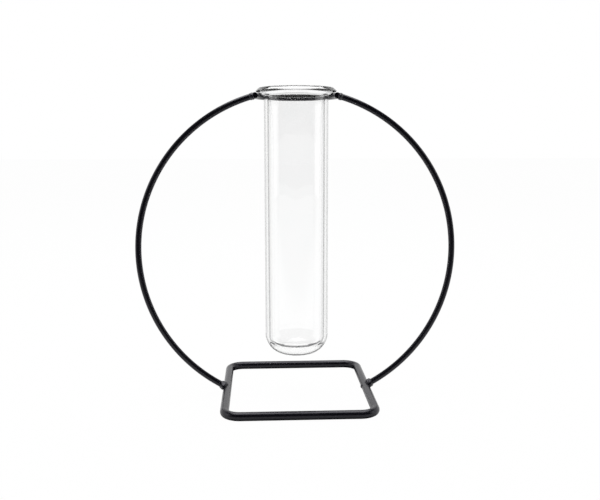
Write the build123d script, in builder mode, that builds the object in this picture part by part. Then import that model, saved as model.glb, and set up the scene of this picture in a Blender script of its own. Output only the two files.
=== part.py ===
from build123d import *
from math import acos, atan2, cos, degrees, radians, sin, sqrt, tan
import os

# Test tube vase: a glass test tube hangs by its lip in the half loop at the top of a wire hoop,
# and the hoop stands on a rectangular base loop. Millimetres, +Z up, +X to the right and
# -Y towards the viewer. The origin is on the table, under the middle of the base.

# Round wires, over their coat
base_wire_d = 4.5
hoop_wire_d = 3.3

# Base loop, between the centrelines of its wire
base_width = 76.5
base_depth = 90.0
base_corner_r = 8.2

# Half loop that holds the tube, open at the front
loop_height = 161.1
loop_tube_gap = 3.05

# Hoop arms, each bent to one arc from the base loop to the half loop and lapped into both;
# the bulge is how far the arc stands out from the line between its two ends
arm_bulge = 54.5
arm_foot_rise = 0.8
arm_head_lap = 0.7
arm_foot_lap = 1.4

# Weld beads
foot_weld_r = 2.5
loop_weld_r = 2.3
seam_weld_r = 1.5
seam_weld_stand = 0.5

# Glass tube, from its closed bottom to the top of its lip
tube_length = 143.4
tube_od = 34.0
tube_wall = 2.0
tube_knuckle_r = 11.0
tube_dish_r = 35.0
tube_floor_t = 2.2
floor_knuckle_r = 9.0
floor_dish_r = 33.0

# Lip of the tube: a thick flange with a sloping underside, whose nose rests on the half loop
lip_nose_r = 0.5
lip_seat_angle = 21.5
lip_seat_clearance = 0.3
lip_slope = 25.0
lip_neck_r = 0.7
lip_rise = 1.7
lip_shoulder_r = 1.3
lip_shoulder_inset = 1.7
lip_land = 0.5

# Sizes that follow
base_wire_r = base_wire_d / 2
hoop_wire_r = hoop_wire_d / 2
tube_r = tube_od / 2
bore_r = tube_r - tube_wall
rail_x = base_width / 2
loop_r = tube_r + loop_tube_gap + hoop_wire_r


def polar(centre, radius, angle):
    """Point at an angle in degrees on a circle about a centre."""
    return (centre[0] + radius * cos(radians(angle)), centre[1] + radius * sin(radians(angle)))


def arc_points(centre, radius, first, last):
    """First, middle and last point of the arc between two angles."""
    return [polar(centre, radius, angle) for angle in (first, (first + last) / 2, last)]


def dished_end(wall_x, bottom_z, knuckle_r, dish_r):
    """Points of a closed end from its lowest point to its wall: a shallow dish, then a tighter knuckle."""
    knuckle_x = wall_x - knuckle_r
    knuckle_z = bottom_z + dish_r - sqrt((dish_r - knuckle_r) ** 2 - knuckle_x**2)
    dish_centre = (0, bottom_z + dish_r)
    knuckle_centre = (knuckle_x, knuckle_z)
    meet = degrees(atan2(knuckle_z - dish_centre[1], knuckle_x))
    dish = arc_points(dish_centre, dish_r, -90, meet)
    return dish + arc_points(knuckle_centre, knuckle_r, meet, 0)[1:]


# Nose of the lip, one clearance off the wire of the half loop and above its inner side
seat_distance = hoop_wire_r + lip_seat_clearance + lip_nose_r
nose = polar((loop_r, loop_height), seat_distance, 90 + lip_seat_angle)
lip_top_z = nose[1] + lip_rise
tube_bottom_z = lip_top_z - tube_length

# Underside of the lip, which slopes down from the nose to the hollow neck at the tube's wall
under_angle = lip_slope - 90
nose_low = polar(nose, lip_nose_r, under_angle)
neck_x = tube_r + lip_neck_r
neck_high_x = neck_x - lip_neck_r * sin(radians(lip_slope))
neck_high_z = nose_low[1] - (nose_low[0] - neck_high_x) * tan(radians(lip_slope))
neck = (neck_x, neck_high_z - lip_neck_r * cos(radians(lip_slope)))

# Shoulder of the lip, and the flat land between it and the flared mouth
shoulder = (nose[0] - lip_shoulder_inset, lip_top_z - lip_shoulder_r)
shoulder_run = sqrt((shoulder[0] - nose[0]) ** 2 + (shoulder[1] - nose[1]) ** 2)
shoulder_turn = degrees(acos((lip_nose_r - lip_shoulder_r) / shoulder_run))
side_angle = degrees(atan2(shoulder[1] - nose[1], shoulder[0] - nose[0])) - shoulder_turn
mouth_flare_r = shoulder[0] - lip_land - bore_r
mouth = (bore_r + mouth_flare_r, lip_top_z - mouth_flare_r)

# Closed ends of the tube, outside and inside
outer_end = dished_end(tube_r, tube_bottom_z, tube_knuckle_r, tube_dish_r)
inner_end = dished_end(bore_r, tube_bottom_z + tube_floor_t, floor_knuckle_r, floor_dish_r)

# Hoop arms: one arc through the half loop's end, the bulge and the base rail
arm_head = (loop_r, loop_height)
arm_foot = (rail_x, base_wire_r + arm_foot_rise)
chord_x, chord_z = arm_foot[0] - arm_head[0], arm_foot[1] - arm_head[1]
chord = sqrt(chord_x**2 + chord_z**2)
arm_bend_r = ((chord / 2) ** 2 + arm_bulge**2) / (2 * arm_bulge)
bend_x = (arm_head[0] + arm_foot[0]) / 2 + (arm_bend_r - arm_bulge) * chord_z / chord
bend_z = (arm_head[1] + arm_foot[1]) / 2 - (arm_bend_r - arm_bulge) * chord_x / chord
bend_centre = (bend_x, bend_z)
head_angle = degrees(atan2(arm_head[1] - bend_z, arm_head[0] - bend_x))
foot_angle = degrees(atan2(arm_foot[1] - bend_z, arm_foot[0] - bend_x))
head_end = head_angle - degrees((hoop_wire_r - arm_head_lap) / arm_bend_r)
foot_end = foot_angle + degrees((base_wire_r - arm_foot_lap) / arm_bend_r)

# Base loop: one closed wire, flat on the table
with BuildPart() as base_loop:
    with BuildLine(Plane.XY.offset(base_wire_r)) as base_path:
        FilletPolyline(
            (rail_x, -base_depth / 2),
            (rail_x, base_depth / 2),
            (-rail_x, base_depth / 2),
            (-rail_x, -base_depth / 2),
            radius=base_corner_r,
            close=True,
        )
    with BuildSketch(Plane(origin=base_path.wire() @ 0, z_dir=base_path.wire() % 0)):
        Circle(base_wire_r)
    sweep(path=base_path.wire())

# Half loop: a half turn behind the tube with two short straight ends in front of its middle
with BuildPart() as holder_loop:
    with BuildLine(Plane.XY.offset(loop_height)) as loop_path:
        Line((-loop_r, -hoop_wire_r), (-loop_r, 0))
        ThreePointArc((-loop_r, 0), (0, loop_r), (loop_r, 0))
        Line((loop_r, 0), (loop_r, -hoop_wire_r))
    with BuildSketch(Plane(origin=loop_path.wire() @ 0, z_dir=loop_path.wire() % 0)):
        Circle(hoop_wire_r)
    sweep(path=loop_path.wire())

# Right hoop arm, cut to fit the two wires it is welded to; the left one is its mirror image
with BuildPart() as right_hoop_arm:
    with BuildLine(Plane.XZ) as arm_path:
        ThreePointArc(*arc_points(bend_centre, arm_bend_r, head_end, foot_end))
    with BuildSketch(Plane(origin=arm_path.wire() @ 0, z_dir=arm_path.wire() % 0)):
        Circle(hoop_wire_r)
    sweep(path=arm_path.wire())
    add(base_loop.part, mode=Mode.SUBTRACT)
    add(holder_loop.part, mode=Mode.SUBTRACT)

with BuildPart() as left_hoop_arm:
    mirror(right_hoop_arm.part, about=Plane.YZ)

# Glass tube: turned section with a dished bottom, a straight wall, and a thick lip with a flared mouth
with BuildPart() as glass_tube:
    with BuildSketch(Plane.XZ):
        with BuildLine():
            ThreePointArc(*outer_end[0:3])
            ThreePointArc(*outer_end[2:5])
            Line(outer_end[4], (tube_r, neck[1]))
            ThreePointArc(*arc_points(neck, lip_neck_r, 180, 90 + lip_slope))
            Line(polar(neck, lip_neck_r, 90 + lip_slope), nose_low)
            ThreePointArc(*arc_points(nose, lip_nose_r, under_angle, side_angle))
            Line(polar(nose, lip_nose_r, side_angle), polar(shoulder, lip_shoulder_r, side_angle))
            ThreePointArc(*arc_points(shoulder, lip_shoulder_r, side_angle, 90))
            Line(polar(shoulder, lip_shoulder_r, 90), polar(mouth, mouth_flare_r, 90))
            ThreePointArc(*arc_points(mouth, mouth_flare_r, 90, 180))
            Line(polar(mouth, mouth_flare_r, 180), inner_end[4])
            ThreePointArc(*reversed(inner_end[2:5]))
            ThreePointArc(*reversed(inner_end[0:3]))
            Line(inner_end[0], outer_end[0])
        make_face()
    revolve(axis=Axis.Z)


def weld_bead(centre, radius, *neighbours):
    """Ball of weld metal at a joint, without what its neighbours fill."""
    with BuildPart() as bead:
        with Locations(centre):
            Sphere(radius)
        for neighbour in neighbours:
            add(neighbour.part, mode=Mode.SUBTRACT)
    return bead


# Weld beads where each arm runs into the half loop and into the base rail
head_weld = polar(bend_centre, arm_bend_r, head_angle - degrees(hoop_wire_r / arm_bend_r))
foot_weld = polar(bend_centre, arm_bend_r, foot_angle + degrees(base_wire_r / arm_bend_r))
right_loop_weld = weld_bead((head_weld[0], 0, head_weld[1]), loop_weld_r, holder_loop, right_hoop_arm)
left_loop_weld = weld_bead((-head_weld[0], 0, head_weld[1]), loop_weld_r, holder_loop, left_hoop_arm)
right_foot_weld = weld_bead((foot_weld[0], 0, foot_weld[1]), foot_weld_r, base_loop, right_hoop_arm)
left_foot_weld = weld_bead((-foot_weld[0], 0, foot_weld[1]), foot_weld_r, base_loop, left_hoop_arm)

# Weld that closes the base loop, a small burr on the inner side of the right rail
seam_x = rail_x - base_wire_r - seam_weld_stand + seam_weld_r
base_seam_weld = weld_bead((seam_x, 0, base_wire_r), seam_weld_r, base_loop)

# Named pieces, one file each
os.makedirs("parts", exist_ok=True)
pieces = {
    "base_loop": base_loop,
    "holder_loop": holder_loop,
    "left_hoop_arm": left_hoop_arm,
    "right_hoop_arm": right_hoop_arm,
    "glass_tube": glass_tube,
    "left_loop_weld": left_loop_weld,
    "right_loop_weld": right_loop_weld,
    "left_foot_weld": left_foot_weld,
    "right_foot_weld": right_foot_weld,
    "base_seam_weld": base_seam_weld,
}
for name, piece in pieces.items():
    piece.part.label = name
    export_step(piece.part, f"parts/{name}.step")
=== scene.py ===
"""Looks of a test tube vase: a clear glass tube hung by its lip in a stand of black coated round wire.

Everything is in metres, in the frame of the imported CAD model: +Z up, +X right, -Y towards the viewer,
origin on the table under the middle of the base.
"""

import logging
import math
from collections.abc import Iterable, Sequence
from dataclasses import dataclass
from enum import Enum

import bmesh
import bpy
from mathutils import Matrix, Vector, noise


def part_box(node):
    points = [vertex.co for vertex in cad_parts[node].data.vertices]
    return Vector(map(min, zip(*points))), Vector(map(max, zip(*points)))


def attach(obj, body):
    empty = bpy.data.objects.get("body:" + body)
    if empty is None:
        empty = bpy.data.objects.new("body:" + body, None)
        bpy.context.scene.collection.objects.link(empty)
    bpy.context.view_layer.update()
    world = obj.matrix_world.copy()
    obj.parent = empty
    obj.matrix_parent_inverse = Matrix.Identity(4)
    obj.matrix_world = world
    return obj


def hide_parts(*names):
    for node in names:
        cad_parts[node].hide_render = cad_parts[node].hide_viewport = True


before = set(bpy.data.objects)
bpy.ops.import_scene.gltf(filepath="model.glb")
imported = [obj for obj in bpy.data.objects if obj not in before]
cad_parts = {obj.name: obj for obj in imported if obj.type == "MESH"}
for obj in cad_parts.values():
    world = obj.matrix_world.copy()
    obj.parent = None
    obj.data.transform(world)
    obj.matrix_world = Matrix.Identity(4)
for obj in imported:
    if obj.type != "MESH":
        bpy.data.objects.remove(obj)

LOG = logging.getLogger("vase")
PHOTO_WIDTH = 600
NOISE_ROUGHNESS = 0.55
Point = tuple[float, float]


class Body(Enum):
    """The two bodies of the vase, as the record names them."""

    STAND = "stand"
    TUBE = "tube"


class Slot(Enum):
    """The record's two finishes."""

    BLACK_COAT = "black_coat"
    CLEAR_GLASS = "clear_glass"


# Shader maths


class Signal:
    """A shader socket that can be used in Python arithmetic; each operation adds one Math node."""

    def __init__(self, graph: "Graph", socket: bpy.types.NodeSocket) -> None:
        """Keep the graph that new nodes go to and the socket that carries the value.

        Args:
            graph: The node graph that owns the socket.
            socket: The output socket that this signal stands for.
        """
        self.graph = graph
        self.socket = socket

    def _math(self, operation: str, first: object, second: object) -> "Signal":
        """Add one Math node.

        Args:
            operation: Blender's name of the operation.
            first: The left operand, a signal or a number.
            second: The right operand, a signal or a number.

        Returns:
            The node's result.
        """
        values = {0: first, 1: second}
        return self.graph.add("ShaderNodeMath", {"operation": operation}, values).signal("Value")

    def __add__(self, other: object) -> "Signal":
        """Sum of this signal and another value."""
        return self._math("ADD", self, other)

    def __radd__(self, other: object) -> "Signal":
        """Sum with this signal on the right."""
        return self._math("ADD", other, self)

    def __sub__(self, other: object) -> "Signal":
        """This signal less another value."""
        return self._math("SUBTRACT", self, other)

    def __rsub__(self, other: object) -> "Signal":
        """Another value less this signal."""
        return self._math("SUBTRACT", other, self)

    def __mul__(self, other: object) -> "Signal":
        """Product of this signal and another value."""
        return self._math("MULTIPLY", self, other)

    def __rmul__(self, other: object) -> "Signal":
        """Product with this signal on the right."""
        return self._math("MULTIPLY", other, self)

    def between(self, low: float, high: float) -> "Signal":
        """Ease from 0 to 1 as this signal goes from one value to another.

        Args:
            low: Where the result is 0.
            high: Where the result is 1; it may be below low.

        Returns:
            The eased signal.
        """
        settings = {"interpolation_type": "SMOOTHSTEP"}
        values = {"Value": self, "From Min": low, "From Max": high}
        return self.graph.add("ShaderNodeMapRange", settings, values).signal("Result")


class NodeHandle:
    """One shader node, with its outputs as signals."""

    def __init__(self, graph: "Graph", node: bpy.types.Node) -> None:
        """Keep the node and its graph.

        Args:
            graph: The node graph that owns the node.
            node: The node itself.
        """
        self.graph = graph
        self.node = node

    def signal(self, name: str) -> Signal:
        """Give the output of that name."""
        return Signal(self.graph, self.node.outputs[name])


class Graph:
    """The node graph of one material or of the world."""

    def __init__(self, owner: bpy.types.Material | bpy.types.World) -> None:
        """Empty the owner's node tree and keep it.

        Args:
            owner: The material or world whose nodes are built.
        """
        owner.use_nodes = True
        self.tree = owner.node_tree
        self.tree.nodes.clear()

    def add(self, kind: str, settings: dict[str, object], values: dict[object, object]) -> NodeHandle:
        """Add a node, set it up and feed its sockets.

        Args:
            kind: Blender's type name of the node.
            settings: Properties of the node, such as a Math node's operation; "stops" sets a ramp's stops.
            values: Numbers, colours or signals for the input sockets, by name or by index.

        Returns:
            The new node.
        """
        node = self.tree.nodes.new(kind)
        for name, value in settings.items():
            if name == "stops":
                self._set_stops(node.color_ramp, value)
            else:
                setattr(node, name, value)
        for name, value in values.items():
            socket = node.inputs[name]
            if isinstance(value, Signal):
                self.tree.links.new(value.socket, socket)
            else:
                socket.default_value = value
        return NodeHandle(self, node)

    @staticmethod
    def _set_stops(ramp: bpy.types.ColorRamp, stops: Sequence[tuple[float, tuple]]) -> None:
        """Give a ramp its stops.

        Args:
            ramp: The ramp of a Color Ramp node, which starts with two stops.
            stops: Place and colour of each stop, in order.
        """
        while len(ramp.elements) < len(stops):
            ramp.elements.new(1.0)
        for element, (place, colour) in zip(ramp.elements, stops):
            element.position = place
            element.color = colour

    def noise(self, place: Signal, scale: float, detail: float, stretch: float = 1.0) -> Signal:
        """Noise over the surface, from -0.5 to 0.5 or so.

        Args:
            place: Point that the noise is read at.
            scale: Spots per metre.
            detail: Octaves of finer noise.
            stretch: How many times longer the spots are along Z.

        Returns:
            The noise, centred on zero.
        """
        squeeze = {"Vector": place, "Scale": (1.0, 1.0, 1.0 / stretch)}
        moved = self.add("ShaderNodeMapping", {}, squeeze).signal("Vector")
        values = {"Vector": moved, "Scale": scale, "Detail": detail, "Roughness": NOISE_ROUGHNESS}
        return self.add("ShaderNodeTexNoise", {}, values).signal("Fac") - 0.5

    def place(self) -> Signal:
        """The point on the object, in metres."""
        return self.add("ShaderNodeTexCoord", {}, {}).signal("Object")

    def blend(self, factor: Signal, first: tuple | Signal, second: tuple) -> Signal:
        """Colour between two colours.

        Args:
            factor: 0 for the first colour and 1 for the second.
            first: Linear colour with alpha, or a colour signal.
            second: Linear colour with alpha.

        Returns:
            The mixed colour.
        """
        values = {"Factor": factor, 6: first, 7: second}
        node = self.add("ShaderNodeMix", {"data_type": "RGBA"}, values)
        return Signal(self, node.node.outputs[2])


# Finishes


@dataclass(frozen=True)
class PowderCoat:
    """Black powder coat on steel wire: a fine orange peel, faint specks, and a rub where it stands."""

    name: str = "black_powder_coat"
    deep: tuple = (0.0055, 0.0052, 0.0085, 1.0)
    dusty: tuple = (0.0105, 0.0102, 0.0150, 1.0)
    rubbed: tuple = (0.026, 0.026, 0.031, 1.0)
    roughness: float = 0.27
    shine: float = 0.36
    shine_tint: tuple = (0.93, 0.92, 1.0, 1.0)
    peel_pitch: float = 0.0009
    peel_depth: float = 0.000005
    speck_pitch: float = 0.00016
    speck_relief: float = 0.25
    cloud_scale: float = 90.0
    cloud_detail: float = 3.0
    speck_detail: float = 1.0
    peel_detail: float = 2.0
    cloud_dust: float = 0.9
    speck_dust: float = 1.1
    dust_range: Point = (-0.1, 0.6)
    cloud_roughness: float = 0.10
    speck_roughness: float = 0.06
    rub_roughness: float = 0.15
    rub_height: float = 0.0005
    rub_share: float = 0.9
    index: float = 1.5

    def build(self) -> bpy.types.Material:
        """Make the material.

        Returns:
            The finished material.
        """
        material = bpy.data.materials.new(self.name)
        graph = Graph(material)
        place = graph.place()
        height = graph.add("ShaderNodeSeparateXYZ", {}, {"Vector": place}).signal("Z")
        cloud = graph.noise(place, self.cloud_scale, self.cloud_detail)
        speck = graph.noise(place, 1.0 / self.speck_pitch, self.speck_detail)
        peel = graph.noise(place, 1.0 / self.peel_pitch, self.peel_detail)
        dust = (cloud * self.cloud_dust + speck * self.speck_dust).between(*self.dust_range)
        rub = height.between(self.rub_height, 0.0) * (cloud + self.rub_share)
        colour = graph.blend(dust, self.deep, self.dusty)
        worn = graph.blend(rub, colour, self.rubbed)
        uneven = cloud * self.cloud_roughness + speck * self.speck_roughness + rub * self.rub_roughness
        relief = peel + speck * self.speck_relief
        bump_values = {"Height": relief, "Distance": self.peel_depth, "Strength": 1.0}
        bump = graph.add("ShaderNodeBump", {}, bump_values).signal("Normal")
        shader_values = {
            "Base Color": worn,
            "Roughness": self.roughness + uneven,
            "Normal": bump,
            "IOR": self.index,
            "Specular IOR Level": self.shine,
            "Specular Tint": self.shine_tint,
        }
        shader = graph.add("ShaderNodeBsdfPrincipled", {}, shader_values).signal("BSDF")
        graph.add("ShaderNodeOutputMaterial", {}, {"Surface": shader})
        return material


@dataclass(frozen=True)
class ClearGlass:
    """Clear drawn glass: shallow draw lines, a trace of haze, and painted dark reflection lines along the
    tube's sides.

    The painted reflection lines are stops of brightness over how far the outer wall turns from the viewer,
    0 for square on.
    """

    name: str = "clear_glass"
    clear: tuple = (1.0, 1.0, 1.0, 1.0)
    haze: tuple = (0.985, 0.992, 0.992, 1.0)
    draw_pitch: float = 0.006
    draw_stretch: float = 14.0
    draw_detail: float = 1.0
    draw_depth: float = 0.0000005
    skin: Point = (0.0158, 0.0163)
    under_lip: Point = (0.01715, 0.01705)
    film_scale: float = 60.0
    film_detail: float = 3.0
    haze_range: Point = (-0.1, 0.4)
    smear_range: Point = (0.2, 0.6)
    smear_roughness: float = 0.02
    index: float = 1.5
    facing_blend: float = 0.5
    # Painted reflections: grey lines by how far the outer wall turns from the viewer.
    painted_reflection_lines: tuple[Point, ...] = (
        (0.36, 1.0),
        (0.42, 0.76),
        (0.46, 0.72),
        (0.50, 0.16),
        (0.54, 0.5),
        (0.6, 1.0),
        (0.7, 0.5),
        (1.0, 0.42),
    )

    def build(self) -> bpy.types.Material:
        """Make the material.

        Returns:
            The finished material.
        """
        material = bpy.data.materials.new(self.name)
        graph = Graph(material)
        place = graph.place()
        draw = graph.noise(place, 1.0 / self.draw_pitch, self.draw_detail, self.draw_stretch)
        film = graph.noise(place, self.film_scale, self.film_detail)
        milky = graph.blend(film.between(*self.haze_range), self.clear, self.haze)
        split = graph.add("ShaderNodeSeparateXYZ", {}, {"Vector": place})
        across, depth = split.signal("X"), split.signal("Y")
        reach = across * across + depth * depth
        skin = reach.between(self.skin[0] ** 2, self.skin[1] ** 2)
        wall = skin * reach.between(self.under_lip[0] ** 2, self.under_lip[1] ** 2)
        # Painted reflections: grey lines multiplied into the outer wall's colour by how far it turns from
        # the viewer.
        turned = graph.add("ShaderNodeLayerWeight", {}, {"Blend": self.facing_blend}).signal("Facing")
        stops = [(turn, (bright, bright, bright, 1.0)) for turn, bright in self.painted_reflection_lines]
        lines = graph.add("ShaderNodeValToRGB", {"stops": stops}, {"Fac": turned}).signal("Color")
        settings = {"data_type": "RGBA", "blend_type": "MULTIPLY"}
        painted_reflections = graph.add("ShaderNodeMix", settings, {"Factor": wall, 6: milky, 7: lines})
        colour = Signal(graph, painted_reflections.node.outputs[2])
        bump_values = {"Height": draw, "Distance": self.draw_depth, "Strength": 1.0}
        bump = graph.add("ShaderNodeBump", {}, bump_values).signal("Normal")
        shader_values = {
            "Base Color": colour,
            "Roughness": film.between(*self.smear_range) * self.smear_roughness,
            "Normal": bump,
            "IOR": self.index,
            "Transmission Weight": 1.0,
        }
        shader = graph.add("ShaderNodeBsdfPrincipled", {}, shader_values).signal("BSDF")
        graph.add("ShaderNodeOutputMaterial", {}, {"Surface": shader})
        return material


@dataclass(frozen=True)
class WhitePaper:
    """White studio paper, plain white to the camera and through glass, with a trace of the vase's shadow.

    A reflection sees it white near the vase, with painted shade towards the camera and a painted contact
    shadow where the wire touches it.
    """

    name: str = "white_paper"
    colour: tuple = (0.80, 0.80, 0.80, 1.0)
    grain: tuple = (0.78, 0.78, 0.78, 1.0)
    white: tuple = (1.0, 1.0, 1.0, 1.0)
    black: tuple = (0.0, 0.0, 0.0, 1.0)
    grain_scale: float = 800.0
    grain_detail: float = 2.0
    grain_range: Point = (-0.4, 0.4)
    glow_share: float = 0.985
    # Painted shade in reflections: from here towards the camera the paper's glow fades to dark.
    painted_shade_start: float = -0.34
    painted_shade_fade: float = 0.22
    # Painted contact shadow in reflections: reach, range and samples of the ambient occlusion.
    contact: float = 0.006
    contact_range: Point = (0.45, 0.95)
    contact_samples: int = 4

    def build(self) -> bpy.types.Material:
        """Make the material.

        Returns:
            The finished material.
        """
        material = bpy.data.materials.new(self.name)
        graph = Graph(material)
        place = graph.place()
        grain = graph.noise(place, self.grain_scale, self.grain_detail)
        colour = graph.blend(grain.between(*self.grain_range), self.colour, self.grain)
        paper = graph.add("ShaderNodeBsdfDiffuse", {}, {"Color": colour}).signal("BSDF")
        rays = graph.add("ShaderNodeLightPath", {}, {})
        depth = graph.add("ShaderNodeSeparateXYZ", {}, {"Vector": place}).signal("Y")
        # Painted contact shadow: in reflections the paper's glow darkens where the wire touches it, by
        # ambient occlusion.
        settings, values = {"samples": self.contact_samples}, {"Distance": self.contact}
        open_sky = graph.add("ShaderNodeAmbientOcclusion", settings, values).signal("AO")
        # Painted shade: in reflections the paper's glow fades to dark towards the camera.
        painted_glow_reach = depth.between(self.painted_shade_start, self.painted_shade_start + self.painted_shade_fade)
        near = painted_glow_reach * open_sky.between(*self.contact_range)
        straight = (rays.signal("Is Camera Ray") + rays.signal("Is Transmission Ray")).between(0.0, 1.0)
        mirrored = rays.signal("Is Glossy Ray") * (1.0 - straight)
        shade = graph.blend(straight + mirrored * near, self.black, self.white)
        glow = graph.add("ShaderNodeEmission", {}, {"Color": shade, "Strength": 1.0}).signal("Emission")
        share = (straight + mirrored) * self.glow_share
        both = graph.add("ShaderNodeMixShader", {}, {0: share, 1: paper, 2: glow}).signal("Shader")
        graph.add("ShaderNodeOutputMaterial", {}, {"Surface": both})
        return material


# Mesh tools


def show_mesh(name: str, mesh: bpy.types.Mesh) -> bpy.types.Object:
    """Shade a mesh smooth and put it in the scene.

    Args:
        name: Name of the piece.
        mesh: Its finished mesh.

    Returns:
        The new object.
    """
    mesh.polygons.foreach_set("use_smooth", [True] * len(mesh.polygons))
    piece = bpy.data.objects.new(name, mesh)
    bpy.context.scene.collection.objects.link(piece)
    return piece


def link_mesh(name: str, points: Iterable[Vector], faces: Sequence[Sequence[int]]) -> bpy.types.Object:
    """Make a smooth mesh object at the origin, with its faces turned outwards.

    Args:
        name: Name of the piece.
        points: Its corners, in the row frame.
        faces: Its faces, as indices of corners.

    Returns:
        The new object.
    """
    mesh = bpy.data.meshes.new(name)
    mesh.from_pydata([tuple(point) for point in points], [], faces)
    build = bmesh.new()
    build.from_mesh(mesh)
    bmesh.ops.recalc_face_normals(build, faces=build.faces)
    build.to_mesh(mesh)
    build.free()
    return show_mesh(name, mesh)


def arc(centre: Point, radius: float, first: float, last: float, steps: int) -> list[Point]:
    """Points along an arc in a plane.

    Args:
        centre: Centre of the arc.
        radius: Its radius.
        first: Angle of the first point, in degrees.
        last: Angle of the last point, in degrees.
        steps: Number of chords.

    Returns:
        The points, both ends included.
    """
    turns = [math.radians(first + (last - first) * step / steps) for step in range(steps + 1)]
    return [(centre[0] + radius * math.cos(turn), centre[1] + radius * math.sin(turn)) for turn in turns]


def angle_to(centre: Point, point: Point) -> float:
    """Angle of a point seen from a centre, in degrees."""
    return math.degrees(math.atan2(point[1] - centre[1], point[0] - centre[0]))


@dataclass
class RoundWire:
    """A round wire bent in one plane.

    Its path is a list of points in that plane; across is the direction square to the plane.
    """

    name: str
    path: list[Vector]
    across: Vector
    radius: float
    closed: bool = False
    sides: int = 40
    end_round: float = 0.0003
    end_turns: tuple[float, ...] = (90, 67, 45, 22, 0)

    def _ring(self, middle: Vector, along: Vector, radius: float) -> list[Vector]:
        """One ring of points round the wire.

        Args:
            middle: Centre of the ring.
            along: Direction of the wire there.
            radius: Radius of the ring.

        Returns:
            The points of the ring.
        """
        inward = along.cross(self.across).normalized()
        turns = [math.tau * side / self.sides for side in range(self.sides)]
        return [middle + (self.across * math.cos(t) + inward * math.sin(t)) * radius for t in turns]

    def _rings(self) -> list[list[Vector]]:
        """Lay every ring, with the two ends of an open wire softly rounded.

        Returns:
            The rings in order along the wire.
        """
        count = len(self.path)
        rings = []
        for index, middle in enumerate(self.path):
            before = self.path[index - 1] if self.closed or index else middle
            after = self.path[(index + 1) % count] if self.closed or index < count - 1 else middle
            rings.append(self._ring(middle, (after - before).normalized(), self.radius))
        if not self.closed:
            rings = self._end(0, 1) + rings[1:-1] + self._end(-1, -2)[::-1]
        return rings

    def _end(self, index: int, inner: int) -> list[list[Vector]]:
        """Rings of one rounded end, from the outside in.

        Args:
            index: Index of the path's end point.
            inner: Index of the point before it.

        Returns:
            The rings.
        """
        tip = self.path[index]
        inward = (self.path[inner] - tip).normalized()
        along = inward if index == 0 else -inward
        steps = [math.radians(turn) for turn in self.end_turns]
        return [
            self._ring(
                tip + inward * self.end_round * (1 - math.sin(turn)),
                along,
                self.radius - self.end_round * (1 - math.cos(turn)),
            )
            for turn in steps
        ]

    def build(self) -> bpy.types.Object:
        """Make the wire's mesh.

        Returns:
            The wire as a closed mesh.
        """
        rings = self._rings()
        points = [point for ring in rings for point in ring]
        faces: list[Sequence[int]] = []
        for index in range(len(rings) if self.closed else len(rings) - 1):
            here, there = index * self.sides, (index + 1) % len(rings) * self.sides
            for side in range(self.sides):
                other = (side + 1) % self.sides
                faces.append((here + side, there + side, there + other, here + other))
        if not self.closed:
            last = (len(rings) - 1) * self.sides
            faces.append(tuple(range(self.sides)))
            faces.append(tuple(range(last, last + self.sides)))
        return link_mesh(self.name, points, faces)


@dataclass
class WeldBead:
    """A small lumpy bead of weld metal that runs out along the two wires it joins."""

    name: str
    centre: Vector
    radius: float
    runs: tuple[Vector, ...]
    run_out: float = 0.45
    run_focus: int = 6
    lump: float = 0.10
    lump_scale: float = 1.6
    ripple: float = 0.04
    ripple_turns: float = 9.0
    seed: float = 0.0
    subdivisions: int = 4

    def _reach(self, direction: Vector) -> float:
        """Distance from the bead's centre to its skin.

        Args:
            direction: Unit vector from the centre.

        Returns:
            The distance in metres.
        """
        pull = max(abs(direction.dot(run)) ** self.run_focus for run in self.runs)
        lumps = noise.noise(direction * self.lump_scale + Vector((self.seed, 0.0, 0.0)))
        ripples = math.sin(self.ripple_turns * direction.dot(self.runs[0]) + self.seed)
        return self.radius * (1.0 + self.run_out * pull + self.lump * lumps + self.ripple * ripples)

    def build(self) -> bpy.types.Object:
        """Make the bead's mesh.

        Returns:
            The bead as a closed mesh.
        """
        build = bmesh.new()
        bmesh.ops.create_icosphere(build, subdivisions=self.subdivisions, radius=1.0)
        for corner in build.verts:
            direction = corner.co.normalized()
            corner.co = self.centre + direction * self._reach(direction)
        mesh = bpy.data.meshes.new(self.name)
        build.to_mesh(mesh)
        build.free()
        return show_mesh(self.name, mesh)


# The vase


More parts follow.
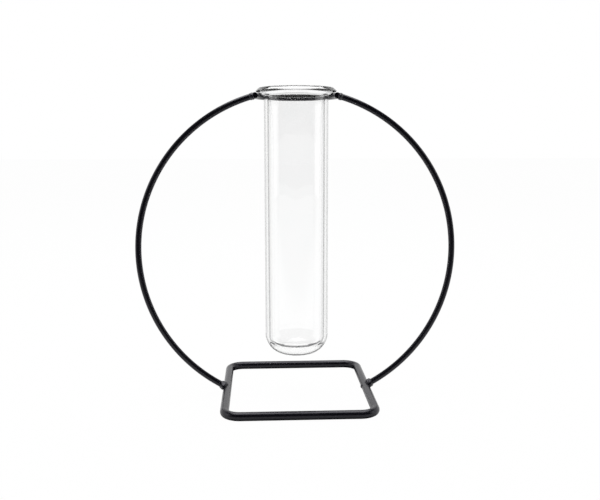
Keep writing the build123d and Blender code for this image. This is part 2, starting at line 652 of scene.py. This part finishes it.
@dataclass
class WireStand:
    """The stand: base loop, two hoop arms, the half loop that holds the tube, and their welds."""

    coat: bpy.types.Material
    base_corner: float = 0.0082
    arm_bulge: float = 0.0545
    foot_rise: float = 0.0008
    foot_lap: float = 0.0014
    head_lap: float = 0.0007
    foot_bead: float = 0.0025
    head_bead: float = 0.0023
    seam_bead: float = 0.0015
    foot_core_share: float = 0.95
    head_core_share: float = 0.85
    seam_core_share: float = 0.8
    foot_seed: float = 4.1
    head_seed: float = 2.3
    seam_run_out: float = 0.15
    tangent_step: float = 1.0
    corner_steps: int = 24
    arc_steps: int = 160

    def __post_init__(self) -> None:
        """Read the wires' places from the CAD boxes."""
        low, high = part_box("base_loop")
        self.base_wire = (high.z - low.z) / 2
        self.rail_x = high.x - self.base_wire
        self.rail_y = high.y - self.base_wire
        low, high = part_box("holder_loop")
        self.wire = (high.z - low.z) / 2
        self.loop_radius = high.x - self.wire
        self.loop_height = (high.z + low.z) / 2
        self.loop_front = low.y
        self._place_arm()

    def _place_arm(self) -> None:
        """Work out the arc of the right arm from its two ends and its bulge."""
        head = Vector((self.loop_radius, 0.0, self.loop_height))
        foot = Vector((self.rail_x, 0.0, self.base_wire + self.foot_rise))
        half = (head - foot).length / 2
        outward = (foot - head).normalized().cross(Vector((0.0, 1.0, 0.0)))
        if outward.x < 0:
            outward = -outward
        self.arm_radius = (half**2 + self.arm_bulge**2) / (2 * self.arm_bulge)
        middle = (head + foot) / 2 - outward * (self.arm_radius - self.arm_bulge)
        self.arm_middle = (middle.x, middle.z)
        self.head_angle = angle_to(self.arm_middle, (head.x, head.z))
        self.foot_angle = angle_to(self.arm_middle, (foot.x, foot.z))

    def _on_arm(self, angle: float, side: int) -> Vector:
        """Point on an arm's centreline.

        Args:
            angle: Angle round the arc's centre, in degrees.
            side: 1 for the right arm and -1 for the left one.

        Returns:
            The point.
        """
        across, up = arc(self.arm_middle, self.arm_radius, angle, angle, 1)[0]
        return Vector((side * across, 0.0, up))

    def base_loop(self) -> bpy.types.Object:
        """Bend the base loop: four rails and four round corners, flat on the table.

        Returns:
            The loop.
        """
        turn_x, turn_y = self.rail_x - self.base_corner, self.rail_y - self.base_corner
        corners = ((turn_x, turn_y), (-turn_x, turn_y), (-turn_x, -turn_y), (turn_x, -turn_y))
        flat: list[Point] = []
        for quarter, corner in enumerate(corners):
            flat += arc(corner, self.base_corner, 90 * quarter, 90 * quarter + 90, self.corner_steps)
        path = [Vector((x, y, self.base_wire)) for x, y in flat]
        return RoundWire("base_loop_wire", path, Vector((0, 0, 1)), self.base_wire, closed=True).build()

    def holder_loop(self) -> bpy.types.Object:
        """Bend the half loop behind the tube, with its two straight ends.

        Returns:
            The loop.
        """
        flat = [(self.loop_radius, self.loop_front)]
        flat += arc((0.0, 0.0), self.loop_radius, 0, 180, self.arc_steps)
        flat += [(-self.loop_radius, self.loop_front)]
        path = [Vector((x, y, self.loop_height)) for x, y in flat]
        return RoundWire("holder_loop_wire", path, Vector((0, 0, 1)), self.wire).build()

    def arm(self, side: int, name: str) -> bpy.types.Object:
        """Bend one hoop arm, which laps into the half loop and into the base rail.

        Args:
            side: 1 for the right arm and -1 for the left one.
            name: Name of the piece.

        Returns:
            The arm.
        """
        head = self.head_angle - math.degrees((self.wire - self.head_lap) / self.arm_radius)
        foot = self.foot_angle + math.degrees((self.base_wire - self.foot_lap) / self.arm_radius)
        angles = [head + (foot - head) * step / self.arc_steps for step in range(self.arc_steps + 1)]
        path = [self._on_arm(angle, side) for angle in angles]
        return RoundWire(name, path, Vector((0, 1, 0)), self.wire).build()

    def beads(self) -> list[tuple[bpy.types.Object, str]]:
        """Lay the five weld beads; each core is a share of the CAD bead, because the beads run out from it.

        Returns:
            Each bead with the name of the CAD node that it replaces.
        """
        laid = []
        joined_run = Vector((0, 1, 0))
        for side, word in ((1, "right"), (-1, "left")):
            head = self.head_angle - math.degrees(self.wire / self.arm_radius)
            foot = self.foot_angle + math.degrees(self.base_wire / self.arm_radius)
            head_place, foot_place = self._on_arm(head, side), self._on_arm(foot, side)
            head_run = (self._on_arm(head - self.tangent_step, side) - head_place).normalized()
            foot_run = (self._on_arm(foot + self.tangent_step, side) - foot_place).normalized()
            top_core = self.head_bead * self.head_core_share
            low_core = self.foot_bead * self.foot_core_share
            top = WeldBead(f"{word}_loop_bead", head_place, top_core, (head_run, joined_run))
            low = WeldBead(f"{word}_foot_bead", foot_place, low_core, (foot_run, joined_run))
            top.seed, low.seed = side * self.head_seed, side * self.foot_seed
            laid += [(top.build(), f"{word}_loop_weld"), (low.build(), f"{word}_foot_weld")]
        low_corner, high_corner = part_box("base_seam_weld")
        burr = self.seam_bead * self.seam_core_share
        centre = Vector((low_corner.x + burr, 0.0, (low_corner.z + high_corner.z) / 2))
        seam = WeldBead("base_seam_bead", centre, burr, (Vector((0, 0, 1)),), run_out=self.seam_run_out)
        laid.append((seam.build(), "base_seam_weld"))
        return laid

    def build(self) -> None:
        """Make every wire and bead, coat them, and let them stand for their CAD nodes."""
        pieces = [
            (self.base_loop(), "base_loop"),
            (self.holder_loop(), "holder_loop"),
            (self.arm(1, "right_arm_wire"), "right_hoop_arm"),
            (self.arm(-1, "left_arm_wire"), "left_hoop_arm"),
        ]
        for piece, node in pieces + self.beads():
            dress(piece, node, self.coat, Body.STAND)


@dataclass
class GlassTube:
    """The test tube: a dished bottom, a straight wall and a thick flared lip, turned about the Z axis."""

    glass: bpy.types.Material
    radius: float = 0.017
    wall: float = 0.002
    knuckle: float = 0.011
    dish: float = 0.035
    floor: float = 0.0022
    inner_knuckle: float = 0.009
    inner_dish: float = 0.033
    neck: float = 0.0007
    slope: float = 25.0
    nose: float = 0.0005
    shoulder: float = 0.0013
    shoulder_middle: float = 0.0191
    flare: float = 0.0036
    seat_gap: float = 0.0003
    dish_steps: int = 16
    knuckle_steps: int = 20
    neck_steps: int = 10
    nose_steps: int = 14
    shoulder_steps: int = 12
    mouth_steps: int = 20
    turns: int = 256

    def __post_init__(self) -> None:
        """Read the tube's ends, the reach of its lip and the loop that it hangs in from the CAD boxes."""
        low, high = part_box("glass_tube")
        self.bottom = low.z
        self.top = high.z
        self.lip = high.x
        low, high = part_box("holder_loop")
        wire = (high.z - low.z) / 2
        reach = wire + self.seat_gap + self.nose
        across = (high.x - wire) - (self.lip - self.nose)
        self.nose_height = (high.z + low.z) / 2 + math.sqrt(reach**2 - across**2)

    def _dished_end(self, wall: float, bottom: float, knuckle: float, dish: float) -> list[Point]:
        """Section of a dished bottom, from the axis out to the wall.

        Args:
            wall: Radius of the wall.
            bottom: Height of the lowest point.
            knuckle: Radius of the corner.
            dish: Radius of the dish.

        Returns:
            The points.
        """
        across = wall - knuckle
        dish_middle = bottom + dish
        knuckle_middle = dish_middle - math.sqrt((dish - knuckle) ** 2 - across**2)
        meet = angle_to((0.0, dish_middle), (across, knuckle_middle))
        section = arc((0.0, dish_middle), dish, -90, meet, self.dish_steps)
        section[0] = (0.0, bottom)
        return section + arc((across, knuckle_middle), knuckle, meet, 0, self.knuckle_steps)[1:]

    def _lip_section(self) -> list[Point]:
        """Section of the lip: neck, sloping underside, nose, shoulder and flared mouth.

        Returns:
            The points, from the outer wall to the bore.
        """
        slope = math.radians(self.slope)
        along, down = (math.cos(slope), math.sin(slope)), (math.sin(slope), -math.cos(slope))
        nose = (self.lip - self.nose, self.nose_height)
        shoulder = (self.shoulder_middle, self.top - self.shoulder)
        reach = self.neck * (1 - down[0]) + self.radius - (nose[0] + self.nose * down[0])
        run = reach / along[0]
        neck_up = nose[1] + self.nose * down[1] + run * along[1] + self.neck * down[1]
        neck = (self.radius + self.neck, neck_up)
        span = math.dist(nose, shoulder)
        side = angle_to(nose, shoulder) - math.degrees(math.acos((self.nose - self.shoulder) / span))
        mouth = (self.radius - self.wall + self.flare, self.top - self.flare)
        section = arc(neck, self.neck, 180, 90 + self.slope, self.neck_steps)
        section += arc(nose, self.nose, self.slope - 90, side, self.nose_steps)
        section += arc(shoulder, self.shoulder, side, 90, self.shoulder_steps)
        return section + arc(mouth, self.flare, 90, 180, self.mouth_steps)

    def build(self) -> None:
        """Turn the tube from its section and let it stand for its CAD node."""
        outside = self._dished_end(self.radius, self.bottom, self.knuckle, self.dish)
        bore = self.radius - self.wall
        inside = self._dished_end(bore, self.bottom + self.floor, self.inner_knuckle, self.inner_dish)
        section = outside + self._lip_section() + inside[::-1]
        points: list[Vector] = [Vector((0.0, 0.0, section[0][1])), Vector((0.0, 0.0, section[-1][1]))]
        rings = section[1:-1]
        for turn in range(self.turns):
            angle = math.tau * turn / self.turns
            points += [Vector((r * math.cos(angle), r * math.sin(angle), z)) for r, z in rings]
        faces: list[Sequence[int]] = []
        count = len(rings)
        for turn in range(self.turns):
            here, there = 2 + turn * count, 2 + (turn + 1) % self.turns * count
            faces.append((0, here, there))
            faces += [(here + k, here + k + 1, there + k + 1, there + k) for k in range(count - 1)]
            faces.append((here + count - 1, 1, there + count - 1))
        tube = link_mesh("glass_test_tube", points, faces)
        dress(tube, "glass_tube", self.glass, Body.TUBE)


def dress(piece: bpy.types.Object, node: str, material: bpy.types.Material, body: Body) -> None:
    """Give a piece its material, body and the CAD node that it stands for.

    Args:
        piece: The finished piece.
        node: The CAD node that it replaces.
        material: Its finish.
        body: The body that it moves with.
    """
    piece.data.materials.append(material)
    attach(piece, body.value)
    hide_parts(node)
    LOG.info("%s stands for %s, %d faces", piece.name, node, len(piece.data.polygons))


# The studio


@dataclass(frozen=True)
class SoftBox:
    """A soft box: where it hangs, how large it is and how strongly it shines."""

    name: str
    place: tuple[float, float, float]
    size: Point
    power: float

    def hang(self, aim: Vector) -> None:
        """Hang the soft box.

        Args:
            aim: The point that it faces.
        """
        light = bpy.data.lights.new(self.name, "AREA")
        light.shape = "RECTANGLE"
        light.size, light.size_y = self.size
        light.energy = self.power
        lamp = bpy.data.objects.new(self.name, light)
        lamp.location = self.place
        lamp.rotation_euler = (aim - lamp.location).to_track_quat("-Z", "Y").to_euler()
        lamp.visible_transmission = False
        bpy.context.scene.collection.objects.link(lamp)


@dataclass
class Studio:
    """A white floor and surround, dark above and on the camera's side, with three soft boxes."""

    floor_half: float = 6.0
    floor_drop: float = 0.0002
    fill: float = 0.7
    inner_dark: float = 0.8
    white: tuple = (1.0, 1.0, 1.0, 1.0)
    dark: tuple = (0.003, 0.003, 0.003, 1.0)
    backdrop_side: Point = (-0.15, 0.05)
    backdrop_top: Point = (0.75, 0.55)
    glass_top: Point = (0.62, 0.45)
    camera_side: Point = (0.0, -0.25)
    camera_low: Point = (0.03, 0.12)
    aim: tuple[float, float, float] = (0.0, 0.0, 0.08)
    boxes: tuple[SoftBox, ...] = (
        SoftBox("overhead_box", (0.0, 0.15, 0.95), (0.9, 0.9), 12.0),
        SoftBox("left_box", (-0.95, -0.22, 0.30), (0.36, 0.8), 1.2),
        SoftBox("right_box", (0.95, -0.22, 0.30), (0.36, 0.8), 1.2),
    )

    def floor(self) -> None:
        """Lay the white floor."""
        half = self.floor_half
        sides = ((-1, -1), (1, -1), (1, 1), (-1, 1))
        corners = [Vector((x * half, y * half, -self.floor_drop)) for x, y in sides]
        floor = link_mesh("studio_floor", corners, [(0, 1, 2, 3)])
        floor.data.materials.append(WhitePaper().build())

    def surround(self) -> None:
        """Light the room: white to the camera, and dark overhead and behind the camera elsewhere.

        Straight through the glass it is white low down on the camera's side too, and a reflection inside
        the glass sees that side mostly dark.
        """
        world = bpy.data.worlds.new("studio_room")
        bpy.context.scene.world = world
        graph = Graph(world)
        direction = graph.add("ShaderNodeTexCoord", {}, {}).signal("Generated")
        split = graph.add("ShaderNodeSeparateXYZ", {}, {"Vector": direction})
        front, up = split.signal("Y"), split.signal("Z")
        backdrop = front.between(*self.backdrop_side) * up.between(*self.backdrop_top)
        rays = graph.add("ShaderNodeLightPath", {}, {})
        inner = rays.signal("Glossy Depth").between(0.0, 1.0) * self.inner_dark
        shut = 1.0 - (1.0 - up.between(*self.camera_low)) * (1.0 - inner)
        through = up.between(*self.glass_top) * (1.0 - front.between(*self.camera_side) * shut)
        camera, transmitted = rays.signal("Is Camera Ray"), rays.signal("Is Transmission Ray")
        reflected = 1.0 - (camera + transmitted).between(0.0, 1.0)
        bright = camera + transmitted * (1.0 - camera) * through + reflected * backdrop
        shade = graph.blend(bright, self.dark, self.white)
        diffuse = rays.signal("Is Diffuse Ray")
        strength = 1.0 - diffuse * (1.0 - self.fill)
        values = {"Color": shade, "Strength": strength}
        sky = graph.add("ShaderNodeBackground", {}, values).signal("Background")
        graph.add("ShaderNodeOutputWorld", {}, {"Surface": sky})

    def build(self) -> None:
        """Set up the floor, the room and the lamps."""
        self.floor()
        self.surround()
        for box in self.boxes:
            box.hang(Vector(self.aim))


@dataclass
class PhotoView:
    """The photograph's viewpoint: place in metres, angles in degrees, focal length in photograph pixels."""

    place: tuple[float, float, float] = (-0.019357, -0.418342, 0.137044)
    yaw: float = 2.9136
    pitch: float = 7.8847
    roll: float = -0.0808
    focal: float = 782.41
    sensor: float = 36.0
    near_clip: float = 0.01

    def build(self) -> None:
        """Make the camera and look through it."""
        yaw, pitch, roll = (math.radians(angle) for angle in (self.yaw, self.pitch, self.roll))
        ahead = Vector((math.sin(yaw) * math.cos(pitch), math.cos(yaw) * math.cos(pitch), -math.sin(pitch)))
        right = Vector((math.cos(yaw), -math.sin(yaw), 0.0))
        up = right.cross(ahead)
        across = right * math.cos(roll) + up * math.sin(roll)
        upright = up * math.cos(roll) - right * math.sin(roll)
        camera_data = bpy.data.cameras.new("photo_view")
        camera_data.sensor_width = self.sensor
        camera_data.lens = self.focal / PHOTO_WIDTH * self.sensor
        camera_data.clip_start = self.near_clip
        camera = bpy.data.objects.new("photo_view", camera_data)
        bpy.context.scene.collection.objects.link(camera)
        turn = Matrix((across, upright, -ahead)).transposed().to_4x4()
        camera.matrix_world = Matrix.Translation(Vector(self.place)) @ turn
        bpy.context.scene.camera = camera


def main() -> None:
    """Build the vase, the studio and the view."""
    logging.basicConfig(level=logging.INFO, format="%(name)s: %(message)s")
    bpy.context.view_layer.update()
    WireStand(PowderCoat().build()).build()
    GlassTube(ClearGlass().build()).build()
    Studio().build()
    PhotoView().build()
    bpy.context.scene.view_settings.view_transform = "Standard"


if __name__ == "__main__":
    main()
